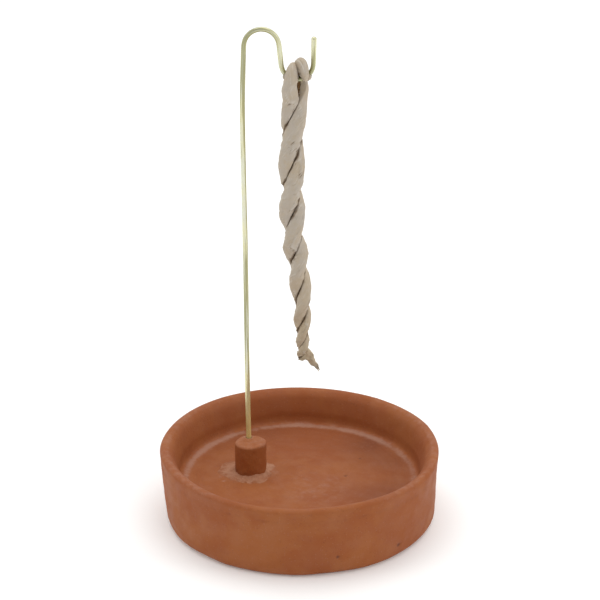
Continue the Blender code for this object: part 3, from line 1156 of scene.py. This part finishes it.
@dataclass
class WireHanger:
    """The bent wire: an upright, an arch, a short leg and the hook.

    Each row of bow is a point of the upright: its height over the post and how far it leans.
    """

    mouth: Array
    radius: float = 0.9 * MM
    hole_depth: float = 8.7 * MM
    upright_rise: float = 147.6 * MM
    upright_lean: float = -0.6 * MM
    bow: Rows = in_metres((20.0, -0.3), (70.0, -0.6), (122.0, -1.2))
    arch_radius: float = 6.0 * MM
    leg_length: float = 7.5 * MM
    leg_tilt: float = 5.6
    hook_radius: float = 5.5 * MM
    hook_end_length: float = 9.6 * MM
    hook_end_tilt: float = 1.0
    blunting: float = 0.35 * MM
    sides: int = 28
    rows: int = 470

    def route(self) -> Array:
        """Middle line of the wire, from the bottom of its hole to its tip.

        Returns:
            Points of a straight foot, a slightly bowed upright, and two arcs with straight
            runs after them.
        """
        x, y, z = self.mouth
        foot = np.array([[x, z - self.hole_depth]])
        bowed = [(x, z), *((x + lean, z + rise) for rise, lean in self.bow)]
        top = (x + self.upright_lean, z + self.upright_rise)
        upright = smooth_rows([*bowed, top], 24)
        arch_centre = np.array(top) + (self.arch_radius, 0.0)
        arch = arc(arch_centre, self.arch_radius, 180, self.leg_tilt, 48)
        tilt = math.radians(self.leg_tilt)
        down = np.array([math.sin(tilt), -math.cos(tilt)])
        leg_end = arch[-1] + self.leg_length * down
        hook_centre = leg_end + self.hook_radius * np.array([math.cos(tilt), math.sin(tilt)])
        hook = arc(hook_centre, self.hook_radius, 180 + self.leg_tilt, 360 - self.hook_end_tilt, 60)
        end_tilt = math.radians(self.hook_end_tilt)
        tip = hook[-1] + self.hook_end_length * np.array([math.sin(end_tilt), math.cos(end_tilt)])
        flat = np.concatenate([foot, upright, arch[1:], leg_end[None], hook[1:], tip[None]])
        flat = evenly(flat, self.rows)
        kernel = np.ones(7) / 7.0  # rounds the corners between the runs and the arcs
        smooth = np.stack([np.convolve(column, kernel, "same") for column in flat.T], axis=1)
        flat[4:-4] = smooth[4:-4]
        return np.stack([flat[:, 0], np.full(len(flat), y), flat[:, 1]], axis=1)

    def surface(self) -> Patch:
        """A round section carried along the route, a little flattened where it is bent.

        Returns:
            The surface with a flat map along and round it, marked olive inside the bends and with painted
            highlight in gold near the post and on its right side.
        """
        middle = self.route()
        length = along_length(middle)
        ahead = unit(np.gradient(middle, axis=0))
        side = np.broadcast_to(np.array([0.0, 1.0, 0.0]), middle.shape)
        across = np.cross(side, ahead)
        curving = np.linalg.norm(np.gradient(ahead, axis=0), axis=1) / np.gradient(length)
        bent = np.convolve(smooth_step(20.0, 150.0, curving), np.ones(15) / 15, "same")
        wobble = 1.0 + 0.018 * np.sin(length * 310.0) * np.sin(length * 97.0)
        near_end = np.minimum(length, length[-1] - length)
        into_end = np.clip(near_end / self.blunting, 0, 1)
        blunt = self.radius - self.blunting * np.sqrt(1 - into_end**2 * 0.999)
        size = np.minimum(blunt, self.radius) * wobble
        turn, _ = round_about(self.sides)
        out = (size * (1 - 0.06 * bent))[:, None] * np.cos(turn)
        aside = (size * (1 + 0.05 * bent))[:, None] * np.sin(turn)
        points = sweep(middle, across, side, (out, aside))
        turning = np.gradient(ahead, axis=0)
        bend_side = np.sign(turning[:, :1] * across[:, :1] + turning[:, 2:] * across[:, 2:])
        inner = bent[:, None] * smooth_step(0.0, 1.0, bend_side * np.cos(turn))
        # Painted highlight: a lighter gold near the post and on the wire's right side.
        low = smooth_step(36 * MM, 1 * MM, points[..., 2] - self.mouth[2])
        right = smooth_step(0.2, 0.9, np.cos(turn) * np.sign(across[:, :1]))
        golden = np.clip(0.75 * low + 0.12 * right, 0, 1)
        olive = np.clip(0.75 * inner + 0.30 * bent[:, None], 0, 1)
        round_it = np.broadcast_to(turn * self.radius, golden.shape)
        along = np.broadcast_to(length[:, None], golden.shape)
        return Patch(points, {"golden": golden, "olive": olive}, (along, round_it), capped=True)

    def build(self, metal: bpy.types.Material) -> bpy.types.Object:
        """Makes the wire and ties it to its body."""
        obj = build_object("wire_hanger_bent", [self.surface()])
        return finish_piece(obj, metal, Slot.WIRE, Body.HANGER, "wire_hanger")


# --- the rope ---------------------------------------------------------------------------------


class Side(Enum):
    """The two halves of the folded strand, with the angle that each is ahead of the first."""

    FRONT = 0.0
    BACK = math.pi


@dataclass
class Rope:
    """A strip of paper filled with incense powder, folded over the hook and twisted.

    The crossings are rows of depth below the hook's lowest point, sideways shift, thickness of
    a strand outward from the rope's middle and half of a strand's width. From one crossing to
    the next the rope makes half a turn. The tail's rows are sideways shift, depth, thickness
    and half width. The folds' rows are the angle over the wire in degrees, from 0 level with
    it to 90 above it, and then sideways shift, thickness outward and half width.
    """

    hang: Array
    wire_line: Array
    wire_radius: float
    length: float = 118.0 * MM
    diameter: float = 9.0 * MM
    hug: float = 0.12 * MM
    seam_gap: float = 0.05 * MM
    sheet: float = 0.22 * MM
    first_turn: float = math.radians(270)
    crossings: Rows = in_metres(
        (0.0, 0.0, 4.2, 2.6),
        (20.7, -1.8, 4.5, 3.3),
        (40.2, -1.9, 4.6, 2.95),
        (56.4, -1.4, 4.3, 2.75),
        (69.1, 0.3, 4.1, 2.65),
        (83.7, 1.6, 3.5, 2.15),
        (94.1, 1.8, 2.6, 1.9),
        (100.9, 1.9, 2.1, 1.5),
        (104.6, 1.5, 1.2, 1.0),
    )
    tail: Rows = in_metres(
        (1.0, 99.6, 1.5, 0.9),
        (2.4, 101.2, 2.0, 1.60),
        (4.1, 103.7, 1.5, 1.60),
        (5.6, 106.0, 1.0, 1.35),
        (7.1, 108.2, 0.5, 0.80),
    )
    front_fold: Rows = in_metres(
        (0, -2.2, 4.2, 2.5),
        (25, -2.0, 4.9, 2.3),
        (50, -1.9, 5.6, 2.2),
        (75, -1.7, 5.6, 2.0),
        (100, -1.1, 5.0, 1.9),
        (120, -0.7, 4.0, 1.4),
        kept=1,
    )
    back_fold: Rows = in_metres(
        (0, 1.2, 4.2, 2.0),
        (30, 1.2, 4.8, 2.2),
        (60, 1.15, 5.9, 2.5),
        (90, 1.2, 7.1, 2.55),
        (110, 1.85, 6.5, 2.1),
        (125, 2.2, 5.8, 1.75),
        (138, 2.5, 5.2, 1.45),
        (152, 2.65, 4.5, 1.2),
        (166, 2.7, 3.7, 0.8),
        (176, 2.8, 3.1, 0.3),
        kept=1,
    )
    opening: float = 8.0 * MM
    notch: float = 3.2 * MM
    wrap_pitch: float = 13.0 * MM
    edge_height: float = 0.26 * MM
    deepest: float = 0.24 * MM
    columns: int = 80
    thin_columns: int = 48
    swing: float = 45.0
    swing_step: float = 7.5
    tail_steps: int = 12
    path_points: int = 36
    fold_top: float = 6.5 * MM
    row_steps: int = 24
    fold_steps: int = 8
    lumps: LumpField = LumpField(43)
    creases: LumpField = LumpField(47)

    def rows(self) -> Array:
        """Rows down the rope: depth, shift, thickness, half width and turn."""
        turned = [self.first_turn - math.pi * i for i in range(len(self.crossings))]
        return smooth_rows([(*row, turn) for row, turn in zip(self.crossings, turned)], self.row_steps)

    def below(self, aside: Array, depth: Array) -> Array:
        """Points by their shift aside and their depth under the hook's lowest point."""
        return self.hang + np.stack([aside, np.zeros_like(aside), -depth], axis=-1)

    def strand(self, side: Side) -> dict[str, Array]:
        """The sections of one strand, from its bottom end up and over the wire.

        Below the hook the strand's flat side faces the rope's middle; over the hook its inner
        side follows an arc round the wire: middle = hang + radius * (cos over, sin over).

        Args:
            side: Which strand.

        Returns:
            The lines middle, across, side, depth, half and over, one entry for each section.
        """
        depth, shift, thick, half, turn = self.rows()[::-1].T
        turn = turn + side.value
        fold = self.front_fold if side is Side.FRONT else self.back_fold
        near = smooth_step(self.opening, 0.0, depth)
        clear = self.wire_radius + self.hug
        spread = self.seam_gap / 2 + (clear - self.seam_gap / 2) * near
        _, first_aside, first_thick, first_half = fold[0]
        aside = shift + first_aside * near
        thick = thick + (first_thick - thick) * near
        half = half + (first_half - half) * near
        across = np.stack([np.cos(turn), np.sin(turn), np.zeros_like(turn)], axis=1)
        sideways = np.stack([-np.sin(turn), np.cos(turn), np.zeros_like(turn)], axis=1)
        middle = self.below(aside, depth) + spread[:, None] * across

        over, fold_aside, fold_thick, fold_half = smooth_rows(fold, self.fold_steps)[1:].T
        over = np.radians(over)
        level, up = across[-1], np.array([0.0, 0.0, 1.0])
        fold_across = np.cos(over)[:, None] * level + np.sin(over)[:, None] * up
        fold_middle = self.hang + clear * fold_across
        fold_middle[:, 0] += fold_aside
        return {
            "middle": np.vstack([middle, fold_middle]),
            "across": np.vstack([across, fold_across]),
            "side": np.vstack([sideways, np.broadcast_to(sideways[-1], fold_across.shape)]),
            "depth": np.concatenate([thick, fold_thick]),
            "half": np.concatenate([half, fold_half]),
            "over": np.concatenate([np.zeros_like(half), over]),
        }

    def outline(self, depth: Array, half: Array, turn: Array) -> tuple[Array, Array]:
        """A D: a round outer side, and an inner side that is flat with rounded corners.

        Args:
            depth: Thickness of each section.
            half: Half of its width.
            turn: Angle of each column.

        Returns:
            The outline's coordinates outward and aside, rows by columns.
        """
        widest = 0.20 * depth[:, None]
        cosine, sine = np.cos(turn)[None], np.sin(turn)[None]
        outer = widest + (depth[:, None] - widest) * np.abs(cosine) ** 0.92
        inner = widest * (1.0 - (1.0 - np.abs(sine) ** 4) ** 0.25)
        return np.where(cosine >= 0, outer, inner), half[:, None] * np.sign(sine) * np.abs(sine) ** 0.96

    def wire_paths(self) -> Array:
        """Places of the wire as the rope sees them, through the whole of its swing.

        Returns:
            The points near the hook, turned about X through the rope at each step of the swing.
        """
        near = np.linalg.norm(self.wire_line - self.hang, axis=1) < 9.0 * MM
        arm = self.wire_line[near] - self.hang
        paths = []
        for swing in np.radians(np.arange(-self.swing, self.swing + 0.1, self.swing_step)):
            y = arm[:, 1] * math.cos(swing) - arm[:, 2] * math.sin(swing)
            z = arm[:, 1] * math.sin(swing) + arm[:, 2] * math.cos(swing)
            paths.append(np.stack([arm[:, 0], y, z], axis=1))
        return self.hang + np.concatenate(paths)

    def paper(self, side: Side) -> Patch:
        """One strand's paper: the D carried along the strand, creased and wrinkled.

        Args:
            side: Which strand.

        Returns:
            The surface, marked with its seams (powder stain and painted shade) and with how warm its colour
            is.
        """
        rows = self.strand(side)
        turn, _ = round_about(self.columns, 0.5)
        out, aside = self.outline(rows["depth"], rows["half"], turn)
        level = rows["middle"][:, 2]
        down = np.stack([level, np.full_like(level, side.value * MM), np.zeros_like(level)], -1)
        aside = aside * (1.0 + 0.09 * self.creases.layered(down, 2.4 * MM, 3))[:, None]
        out = out * (1.0 + 0.06 * self.creases.layered(down + 4 * MM, 3.0 * MM, 2))[:, None]
        if side is Side.BACK:
            right = rows["middle"][:, :1] - self.hang[0] - aside
            over_wire = smooth_step(0.7, 1.3, rows["over"])[:, None]
            out = np.maximum(out, self.notch * smooth_step(1.4 * MM, 0.9 * MM, right) * over_wire)
        points = sweep(rows["middle"], rows["across"], rows["side"], (out, aside))
        length = along_length(rows["middle"] + 2 * MM * rows["across"])
        along = np.broadcast_to(length[:, None], out.shape)
        round_it = np.cumsum(
            np.linalg.norm(np.diff(points, axis=1, prepend=points[:, -1:]), axis=-1), axis=1
        )
        around = np.broadcast_to(np.median(round_it, axis=0), out.shape)
        outward = unit(np.cross(np.gradient(points, axis=1), np.gradient(points, axis=0)))
        centre = rows["middle"] + (0.4 * rows["depth"])[:, None] * rows["across"]
        outward *= np.sign(((points - centre[:, None]) * outward).sum(-1, keepdims=True))

        loose = smooth_step(0.02 * MM, 0.55 * MM, out)
        apart = np.full_like(out, 3.0 * side.value * MM)
        skewed = np.stack([along * 0.30 + around * 0.25, around, apart], -1)
        slanted = np.stack([along + 0.9 * np.abs(aside), aside * 0.5, np.full_like(out, 5.0 * MM)], -1)
        folds = self.creases.at(skewed, 0.55 * MM)
        gathers = self.creases.layered(slanted, 0.7 * MM, 2) * smooth_step(3.0 * MM, 0.8 * MM, out)
        height = self.lumps.layered(points, 3.2 * MM, 3) * 0.13 * MM
        height -= np.clip(0.18 - np.abs(folds), 0, 1) * 0.70 * MM
        height += gathers * 0.30 * MM + self.creases.layered(points, 0.9 * MM, 2) * 0.05 * MM
        drift = 0.25 * self.lumps.at(skewed, 2.0 * MM)
        wound = (along / self.wrap_pitch + around / (9.0 * MM) + drift + side.value * 0.13) % 1.0
        height += self.edge_height * (smooth_step(0.0, 0.02, wound) * (1.0 - wound) - 0.5)
        edge = bell(wound, 0.03, 0.035) * loose
        calm = 0.25 + 0.75 * smooth_step(-4.0 * MM, -15.0 * MM, level - self.hang[2])[:, None]
        height = np.maximum(height, -self.deepest) * calm
        points = points + outward * (height * loose)[..., None]
        points = keep_clear(points, self.wire_paths(), self.wire_radius + self.hug)

        low = self.hang[2] - points[..., 2]
        patchy = np.clip(0.45 + 1.7 * self.creases.at(points, 3.4 * MM), 0.0, 1.2)
        below = smooth_step(4.0 * MM, 9.0 * MM, low)
        width = 0.35 * MM + 0.75 * MM * np.clip(patchy, 0.15, 1.0)
        # Seam: brown powder stain and painted shade along the strand's inner side, where it meets the other
        # strand.
        seam = np.clip(1.0 - out / width, 0.0, 1.0) * below * (0.35 + 0.75 * patchy)
        # A wider soft painted shade beside the seam.
        smudged = np.clip(0.5 + self.creases.at(points, 1.1 * MM), 0, 1)
        seam += 0.26 * smooth_step(2.1 * MM, 0.4 * MM, out) * below * smudged
        lines = smooth_step(0.11, 0.03, np.abs(self.creases.at(skewed + 2 * MM, 1.7 * MM)))
        seam += 0.30 * lines * smooth_step(0.25, 0.6, patchy) * loose * calm
        # Painted shadow in the step under each wound edge of the paper.
        seam += 0.62 * bell(wound, 0.98, 0.020) * loose * (0.55 + 0.45 * smooth_step(0.0, 0.6, patchy))
        warm = 0.75 * smooth_step(58 * MM, 98 * MM, low)
        marks = {"seam": np.clip(seam, 0, 1), "warm": warm, "edge": edge}
        torn = self.slit(points, low, out) if side is Side.BACK else None
        return Patch(points, marks, (along, around), torn=torn)

    def slit(self, points: Array, low: Array, out: Array) -> Array:
        """Where the back strand's paper has split open beside the front strand.

        Args:
            points: The strand's surface.
            low: Depth of each point below the hook's lowest point.
            out: How far each point is from the strand's inner side.

        Returns:
            Which points are cut away, with a ragged edge.
        """
        ragged = self.creases.layered(points, 0.8 * MM, 2) * 0.14 * MM
        across = points[..., 0] - self.hang[0] + ragged
        edge = 0.35 * MM + 0.75 * MM * smooth_step(6.5 * MM, 1.0 * MM, low)
        beside = (across < edge) & (across > -0.9 * MM)
        return beside & (out < 0.9 * MM) & (low > -0.3 * MM) & (low < 6.5 * MM)

    def end(self) -> Patch:
        """The flat, torn end: a thin folded strip whose tip runs out in uneven points.

        Returns:
            The surface, with the same marks as the strands.
        """
        aside, depth, thick, half = smooth_rows(self.tail, self.tail_steps).T
        middle = self.below(aside, depth)
        ahead = unit(np.gradient(middle, axis=0))
        twist = np.linspace(0.5, -0.35, len(middle))[:, None]
        flat_side = unit(np.cross(ahead, np.array([0.0, 1.0, 0.0])))
        toward = np.array([0.0, -1.0, 0.0])
        across = np.cos(twist) * toward + np.sin(twist) * flat_side
        side = np.cos(twist) * flat_side - np.sin(twist) * toward
        turn, _ = round_about(self.thin_columns, 0.5)
        out = 0.5 * thick[:, None] * np.cos(turn)
        sine = np.sin(turn)
        points = sweep(middle, across, side, (out, half[:, None] * sine))
        share = np.linspace(0, 1, len(middle))[:, None]
        spikes = 2.6 * bell(sine, 0.15, 0.16) + 1.1 * bell(sine, -0.6, 0.14) + 1.3 * bell(sine, 0.8, 0.12)
        fringe = (spikes - 0.9) * MM * smooth_step(0.66, 1.0, share)
        points = points + ahead[:, None] * fringe[..., None]
        crumple = self.lumps.layered(points, 1.2 * MM, 3) * 0.50 * MM
        points = points + across[:, None] * crumple[..., None]
        waver = self.creases.layered(points, 1.6 * MM, 2) * 0.35 * MM
        points = points + flat_side[:, None] * waver[..., None]
        along = np.broadcast_to(along_length(middle)[:, None], out.shape)
        around = np.broadcast_to(turn * 1.2 * MM, out.shape)
        seam = 0.15 * smooth_step(0.25, 0.0, share) + 0.4 * np.clip(self.creases.at(points, 0.8 * MM), 0, 1)
        edge = np.broadcast_to(0.5 * smooth_step(0.8, 1.0, share), out.shape)
        marks = {"seam": seam, "warm": np.full_like(out, 0.8), "edge": edge}
        return Patch(points, marks, (along, around))

    def powder(self, side: Side) -> Patch:
        """One strand's filling: the strand's own sections drawn in from the paper, grainy.

        Args:
            side: Which strand.

        Returns:
            The surface, closed at both ends.
        """
        rows = self.strand(side)
        keep = slice(30, -4)
        turn, _ = round_about(self.thin_columns, 0.5)
        gap = self.sheet + 0.32 * MM
        out, aside = self.outline(rows["depth"][keep] - 2 * gap, rows["half"][keep] - gap, turn)
        points = sweep(rows["middle"][keep], rows["across"][keep], rows["side"][keep], (out + gap, aside))
        grains = self.lumps.layered(points, 0.9 * MM, 3) * 0.07 * MM
        centre = points.mean(axis=1, keepdims=True)
        points = points + unit(points - centre) * grains[..., None]
        return Patch(keep_clear(points, self.wire_paths(), self.wire_radius + self.hug + gap), capped=True)

    def build(self, paper: bpy.types.Material, powder: bpy.types.Material) -> bpy.types.Object:
        """Args:
            paper: The paper's finish.
            powder: The powder's finish.

        Returns:
            The paper piece.
        """
        filling = build_object("incense_powder_core", [self.powder(side) for side in Side])
        finish_piece(filling, powder, Slot.POWDER, Body.ROPE, "incense_core")
        wrap = build_object("paper_rope", [*(self.paper(side) for side in Side), self.end()])
        wall = wrap.modifiers.new("paper thickness", "SOLIDIFY")
        wall.thickness = self.sheet
        wall.offset = -1.0
        finish_piece(wrap, paper, Slot.PAPER, Body.ROPE, "paper_wrap")
        return wrap


# --- the studio -------------------------------------------------------------------------------


@dataclass(frozen=True)
class Softbox:
    """A soft area light.

    Attributes:
        name: Its name.
        place: Where it stands.
        size: Width and height.
        power: Its power in watts.
    """

    name: str
    place: tuple[float, float, float]
    size: tuple[float, float]
    power: float

    def build(self, target: Sequence[float]) -> None:
        """Adds the light, facing the target.

        Args:
            target: The point it faces.
        """
        data = bpy.data.lights.new(self.name, "AREA")
        data.shape = "RECTANGLE"
        data.size, data.size_y = self.size
        data.energy = self.power
        lamp = bpy.data.objects.new(self.name, data)
        lamp.location = self.place
        facing = Vector(target) - Vector(self.place)
        lamp.rotation_euler = facing.to_track_quat("-Z", "Y").to_euler()
        bpy.context.scene.collection.objects.link(lamp)


@dataclass
class Studio:
    """A pale floor, soft lights all round and the camera."""

    camera_at: tuple[float, float, float] = (0.0, -0.8045, 0.433)
    camera_tilt: float = 66.53
    lens: float = 150.5
    sensor: float = 36.0
    floor_size: float = 4.0
    floor_colour: Rgb = (250, 250, 249)
    sky: float = 0.42
    glow_behind: float = 0.40
    floor_glow: float = 0.10
    boxes: tuple[Softbox, ...] = (
        Softbox("overhead", (0.0, 0.30, 1.30), (1.3, 1.1), 7.0),
        Softbox("front right", (0.8, -1.1, 0.9), (0.8, 0.8), 2.3),
        Softbox("left strip", (-1.0, -0.25, 0.45), (0.35, 0.9), 1.5),
        Softbox("right strip", (1.0, -0.25, 0.45), (0.35, 0.9), 1.5),
    )

    def build(self) -> None:
        """Builds the studio and sets the scene's camera and how colours are shown."""
        scene = bpy.context.scene
        scene.view_settings.view_transform = "Standard"
        self.build_floor()
        for box in self.boxes:
            box.build((0.0, 0.0, 0.06))
        scene.world = self.surround()
        data = bpy.data.cameras.new("camera")
        data.lens, data.sensor_width = self.lens, self.sensor
        camera = bpy.data.objects.new("camera", data)
        camera.location = self.camera_at
        camera.rotation_euler = (math.radians(self.camera_tilt), 0.0, 0.0)
        scene.collection.objects.link(camera)
        scene.camera = camera

    def surround(self) -> bpy.types.World:
        """An even white surround that is brighter behind the object than in front of it.

        Returns:
            The world.
        """
        world = bpy.data.worlds.new("soft surround")
        world.use_nodes = True
        nodes = Nodes(world.node_tree)
        way = nodes.add("ShaderNodeSeparateXYZ", {0: nodes.add("ShaderNodeTexCoord").outputs["Generated"]})
        behind = nodes.spread(way.outputs["Y"], -1.0, 0.0, self.sky, self.sky + self.glow_behind)
        background = world.node_tree.nodes["Background"]
        nodes.feed(background.inputs["Strength"], behind)
        background.inputs["Color"].default_value = paint((255, 255, 255))
        return world

    def build_floor(self) -> None:
        """Lays the floor, just under the dish."""
        half = self.floor_size / 2.0
        mesh = bpy.data.meshes.new("studio_floor")
        level = -0.05 * MM
        corners = [(-half, -half, level), (half, -half, level), (half, half, level), (-half, half, level)]
        mesh.from_pydata(corners, [], [(0, 1, 2, 3)])
        material, _, shader = new_finish("studio_floor")
        shader.inputs["Base Color"].default_value = paint(self.floor_colour)
        shader.inputs["Roughness"].default_value = 0.8
        shader.inputs["Emission Color"].default_value = paint((255, 255, 255))
        shader.inputs["Emission Strength"].default_value = self.floor_glow
        mesh.materials.append(material)
        floor = bpy.data.objects.new("studio_floor", mesh)
        bpy.context.scene.collection.objects.link(floor)


# --- all of it --------------------------------------------------------------------------------


def joint_place(frame: dict[str, Any], name: str) -> Array:
    """Where a joint's axis passes, in metres."""
    return np.array(next(joint["pos_m"] for joint in frame["joints"] if joint["name"] == name))


def main() -> None:
    logging.basicConfig(level=logging.INFO, format="%(name)s: %(message)s")
    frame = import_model()
    effects = SharedEffects()
    clay = TerracottaFinish().build(effects)
    chalk = SlipFinish().build(effects)
    metal = PlatedWireFinish().build(effects)
    paper = PaperFinish().build(effects)
    powder = PowderFinish().build(effects)

    Studio().build()
    mouth = joint_place(frame, "hanger_turn")
    hanger = WireHanger(mouth)
    Rope(joint_place(frame, "rope_swing"), hanger.route(), hanger.radius).build(paper, powder)
    hanger.build(metal)
    dish = Dish()
    dish.build(clay)
    post = Post(mouth)
    post.build(clay)
    Slip(post, dish.floor_height).build(chalk)


if __name__ == "__main__":
    main()
